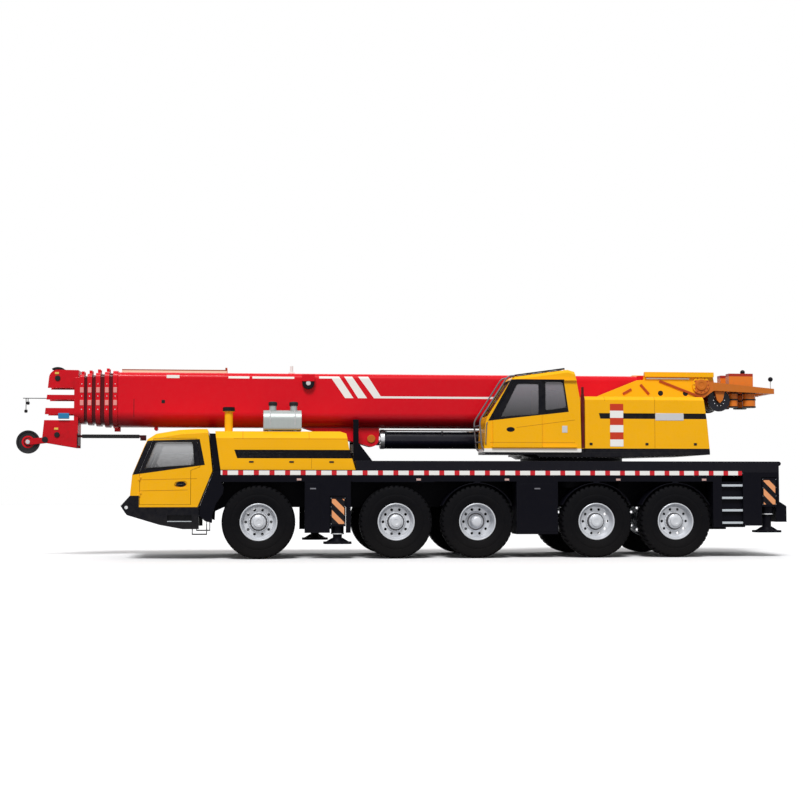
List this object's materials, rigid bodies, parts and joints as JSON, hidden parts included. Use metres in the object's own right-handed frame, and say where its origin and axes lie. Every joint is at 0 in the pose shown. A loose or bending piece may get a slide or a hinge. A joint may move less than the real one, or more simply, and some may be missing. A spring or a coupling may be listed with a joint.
{
  "type": "mobile crane",
  "caption": "Mobile crane: yellow cabs and hood on a black wheeled carrier, with a red telescopic boom, luffing cylinder, outriggers and a turning superstructure.",
  "frame": {"origin": "middle of the crane's box, at the ground under the tyres", "axes": "front to -X, crane's right side to +Y, up to +Z"},
  "size_m": [15.915, 2.986, 3.95],
  "materials": {
    "chassis_black": "satin",
    "axle_grey": "satin",
    "yellow_paint": "gloss",
    "tinted_glass": "gloss",
    "interior_plastic": "matte",
    "engine_iron": "matte",
    "bare_steel": "satin",
    "lamp_lens": "gloss",
    "red_paint": "gloss",
    "sheave_plastic": "matte",
    "cylinder_black": "satin",
    "chromed_rod": "gloss",
    "orange_paint": "gloss",
    "tyre_and_rim": "matte"
  },
  "bodies": {
    "carrier": {"chassis_frame": "chassis_black", "carrier_deck": "chassis_black", "side_panels": "chassis_black", "axles": "axle_grey", "carrier_cab": "yellow_paint", "carrier_cab_glass": "tinted_glass", "cab_interior": "interior_plastic", "steering_wheel": "interior_plastic", "carrier_lamps": "lamp_lens", "engine_hood": "yellow_paint", "engine_block": "engine_iron", "exhaust_muffler": "bare_steel", "boom_rest": "chassis_black", "access_ladders": "bare_steel"},
    "wheel_1_left": {"wheel_1_left": "tyre_and_rim"},
    "knuckle_1_left": {"knuckle_1_left": "axle_grey"},
    "wheel_1_right": {"wheel_1_right": "tyre_and_rim"},
    "knuckle_1_right": {"knuckle_1_right": "axle_grey"},
    "wheel_2_left": {"wheel_2_left": "tyre_and_rim"},
    "knuckle_2_left": {"knuckle_2_left": "axle_grey"},
    "wheel_2_right": {"wheel_2_right": "tyre_and_rim"},
    "knuckle_2_right": {"knuckle_2_right": "axle_grey"},
    "wheel_3_left": {"wheel_3_left": "tyre_and_rim"},
    "wheel_3_right": {"wheel_3_right": "tyre_and_rim"},
    "wheel_4_left": {"wheel_4_left": "tyre_and_rim"},
    "wheel_4_right": {"wheel_4_right": "tyre_and_rim"},
    "wheel_5_left": {"wheel_5_left": "tyre_and_rim"},
    "wheel_5_right": {"wheel_5_right": "tyre_and_rim"},
    "carrier_door_left": {"carrier_door_left": "yellow_paint", "carrier_door_glass_left": "tinted_glass"},
    "carrier_door_right": {"carrier_door_right": "yellow_paint", "carrier_door_glass_right": "tinted_glass"},
    "outrigger_beam_front_left": {"outrigger_beam_front_left": "chassis_black"},
    "outrigger_jack_front_left": {"outrigger_jack_front_left": "chassis_black"},
    "outrigger_beam_front_right": {"outrigger_beam_front_right": "chassis_black"},
    "outrigger_jack_front_right": {"outrigger_jack_front_right": "chassis_black"},
    "outrigger_beam_rear_left": {"outrigger_beam_rear_left": "chassis_black"},
    "outrigger_jack_rear_left": {"outrigger_jack_rear_left": "chassis_black"},
    "outrigger_beam_rear_right": {"outrigger_beam_rear_right": "chassis_black"},
    "outrigger_jack_rear_right": {"outrigger_jack_rear_right": "chassis_black"},
    "superstructure": {"slewing_frame": "yellow_paint", "operator_cab": "yellow_paint", "operator_cab_glass": "tinted_glass", "operator_seat": "interior_plastic", "side_housings": "yellow_paint", "ballast_lift": "orange_paint"},
    "operator_door": {"operator_door": "yellow_paint", "operator_door_glass": "tinted_glass"},
    "winch": {"winch_drum": "cylinder_black"},
    "boom_base": {"boom_base": "red_paint"},
    "luffing_barrel": {"luffing_barrel": "cylinder_black"},
    "luffing_rod": {"luffing_rod": "chromed_rod"},
    "telescope_1": {"telescope_1": "red_paint"},
    "telescope_2": {"telescope_2": "red_paint"},
    "telescope_3": {"telescope_3": "red_paint"},
    "telescope_4": {"telescope_4": "red_paint"},
    "telescope_5": {"telescope_5": "red_paint"},
    "upper_sheaves": {"upper_sheaves": "sheave_plastic"},
    "lower_sheaves": {"lower_sheaves": "sheave_plastic"},
    "rooster_sheave": {"rooster_sheave": "sheave_plastic"}
  },
  "joints": [
    {"name": "steer_1_left", "type": "hinge", "parent": "carrier", "child": "knuckle_1_left", "pos_m": [-3, -0.985, 0.735], "axis": [0, 0, 1], "range_deg": [-32, 32]},
    {"name": "spin_1_left", "type": "hinge", "parent": "knuckle_1_left", "child": "wheel_1_left", "pos_m": [-3, -1.277, 0.735], "axis": [0, 1, 0], "continuous": true},
    {"name": "steer_1_right", "type": "hinge", "parent": "carrier", "child": "knuckle_1_right", "pos_m": [-3, 0.985, 0.735], "axis": [0, 0, 1], "range_deg": [-32, 32]},
    {"name": "spin_1_right", "type": "hinge", "parent": "knuckle_1_right", "child": "wheel_1_right", "pos_m": [-3, 1.277, 0.735], "axis": [0, 1, 0], "continuous": true},
    {"name": "steer_2_left", "type": "hinge", "parent": "carrier", "child": "knuckle_2_left", "pos_m": [-0.25, -0.985, 0.735], "axis": [0, 0, 1], "range_deg": [-23.04, 23.04]},
    {"name": "spin_2_left", "type": "hinge", "parent": "knuckle_2_left", "child": "wheel_2_left", "pos_m": [-0.25, -1.277, 0.735], "axis": [0, 1, 0], "continuous": true},
    {"name": "steer_2_right", "type": "hinge", "parent": "carrier", "child": "knuckle_2_right", "pos_m": [-0.25, 0.985, 0.735], "axis": [0, 0, 1], "range_deg": [-23.04, 23.04]},
    {"name": "spin_2_right", "type": "hinge", "parent": "knuckle_2_right", "child": "wheel_2_right", "pos_m": [-0.25, 1.277, 0.735], "axis": [0, 1, 0], "continuous": true},
    {"name": "spin_3_left", "type": "hinge", "parent": "carrier", "child": "wheel_3_left", "pos_m": [1.4, -1.277, 0.735], "axis": [0, 1, 0], "continuous": true},
    {"name": "spin_3_right", "type": "hinge", "parent": "carrier", "child": "wheel_3_right", "pos_m": [1.4, 1.277, 0.735], "axis": [0, 1, 0], "continuous": true},
    {"name": "spin_4_left", "type": "hinge", "parent": "carrier", "child": "wheel_4_left", "pos_m": [3.85, -1.277, 0.735], "axis": [0, 1, 0], "continuous": true},
    {"name": "spin_4_right", "type": "hinge", "parent": "carrier", "child": "wheel_4_right", "pos_m": [3.85, 1.277, 0.735], "axis": [0, 1, 0], "continuous": true},
    {"name": "spin_5_left", "type": "hinge", "parent": "carrier", "child": "wheel_5_left", "pos_m": [5.5, -1.277, 0.735], "axis": [0, 1, 0], "continuous": true},
    {"name": "spin_5_right", "type": "hinge", "parent": "carrier", "child": "wheel_5_right", "pos_m": [5.5, 1.277, 0.735], "axis": [0, 1, 0], "continuous": true},
    {"name": "carrier_door_left_swing", "type": "hinge", "parent": "carrier", "child": "carrier_door_left", "pos_m": [-5.342, -1.4625, 1.7], "axis": [0, 0, -1], "range_deg": [0, 70]},
    {"name": "carrier_door_right_swing", "type": "hinge", "parent": "carrier", "child": "carrier_door_right", "pos_m": [-5.342, 1.4625, 1.7], "axis": [0, 0, 1], "range_deg": [0, 70]},
    {"name": "outrigger_beam_front_left_slide", "type": "slide", "parent": "carrier", "child": "outrigger_beam_front_left", "axis": [0, -1, 0], "range_m": [0, 1.9]},
    {"name": "outrigger_jack_front_left_lower", "type": "slide", "parent": "outrigger_beam_front_left", "child": "outrigger_jack_front_left", "axis": [0, 0, -1], "range_m": [0, 0.45]},
    {"name": "outrigger_beam_front_right_slide", "type": "slide", "parent": "carrier", "child": "outrigger_beam_front_right", "axis": [0, 1, 0], "range_m": [0, 1.9]},
    {"name": "outrigger_jack_front_right_lower", "type": "slide", "parent": "outrigger_beam_front_right", "child": "outrigger_jack_front_right", "axis": [0, 0, -1], "range_m": [0, 0.45]},
    {"name": "outrigger_beam_rear_left_slide", "type": "slide", "parent": "carrier", "child": "outrigger_beam_rear_left", "axis": [0, -1, 0], "range_m": [0, 1.9]},
    {"name": "outrigger_jack_rear_left_lower", "type": "slide", "parent": "outrigger_beam_rear_left", "child": "outrigger_jack_rear_left", "axis": [0, 0, -1], "range_m": [0, 0.62]},
    {"name": "outrigger_beam_rear_right_slide", "type": "slide", "parent": "carrier", "child": "outrigger_beam_rear_right", "axis": [0, 1, 0], "range_m": [0, 1.9]},
    {"name": "outrigger_jack_rear_right_lower", "type": "slide", "parent": "outrigger_beam_rear_right", "child": "outrigger_jack_rear_right", "axis": [0, 0, -1], "range_m": [0, 0.62]},
    {"name": "slew", "type": "hinge", "parent": "carrier", "child": "superstructure", "pos_m": [3.65, 0, 2.04], "axis": [0, 0, 1], "continuous": true},
    {"name": "operator_door_slide", "type": "slide", "parent": "superstructure", "child": "operator_door", "axis": [1, 0, 0], "range_m": [0, 0.7]},
    {"name": "winch_turn", "type": "hinge", "parent": "superstructure", "child": "winch", "pos_m": [6.785, 0, 3.285], "axis": [0, 1, 0], "continuous": true},
    {"name": "luff", "type": "hinge", "parent": "superstructure", "child": "boom_base", "pos_m": [6.35, 0, 3.6], "axis": [0, 1, 0], "range_deg": [0, 82]},
    {"name": "luffing_barrel_swing", "type": "hinge", "parent": "superstructure", "child": "luffing_barrel", "pos_m": [3.9, 0, 2.44], "axis": [0, 1, 0], "range_deg": [0, 92.5]},
    {"name": "luffing_rod_slide", "type": "slide", "parent": "luffing_barrel", "child": "luffing_rod", "axis": [-1, 0, 0], "range_m": [0, 3.4]},
    {"name": "telescope_1_slide", "type": "slide", "parent": "boom_base", "child": "telescope_1", "axis": [-1, 0, 0], "range_m": [0, 10.2]},
    {"name": "telescope_2_slide", "type": "slide", "parent": "telescope_1", "child": "telescope_2", "axis": [-1, 0, 0], "range_m": [0, 10.2]},
    {"name": "telescope_3_slide", "type": "slide", "parent": "telescope_2", "child": "telescope_3", "axis": [-1, 0, 0], "range_m": [0, 10.2]},
    {"name": "telescope_4_slide", "type": "slide", "parent": "telescope_3", "child": "telescope_4", "axis": [-1, 0, 0], "range_m": [0, 10.2]},
    {"name": "telescope_5_slide", "type": "slide", "parent": "telescope_4", "child": "telescope_5", "axis": [-1, 0, 0], "range_m": [0, 10.2]},
    {"name": "upper_sheaves_turn", "type": "hinge", "parent": "telescope_5", "child": "upper_sheaves", "pos_m": [-7.1, 0, 3.66], "axis": [0, 1, 0], "continuous": true},
    {"name": "lower_sheaves_turn", "type": "hinge", "parent": "telescope_5", "child": "lower_sheaves", "pos_m": [-7.1, 0, 2.5], "axis": [0, 1, 0], "continuous": true},
    {"name": "rooster_sheave_turn", "type": "hinge", "parent": "telescope_5", "child": "rooster_sheave", "pos_m": [-7.715, 0, 2.36], "axis": [0, 1, 0], "continuous": true}
  ],
  "couplings": [
    {"joint": "steer_1_right", "follows": "steer_1_left", "ratio": 1},
    {"joint": "steer_2_left", "follows": "steer_1_left", "ratio": 0.72},
    {"joint": "steer_2_right", "follows": "steer_1_left", "ratio": 0.72},
    {"joint": "luffing_barrel_swing", "follows": "luff", "ratio": 1.1264},
    {"joint": "luffing_rod_slide", "follows": "luff", "m_per_rad": 2.3667}
  ]
}
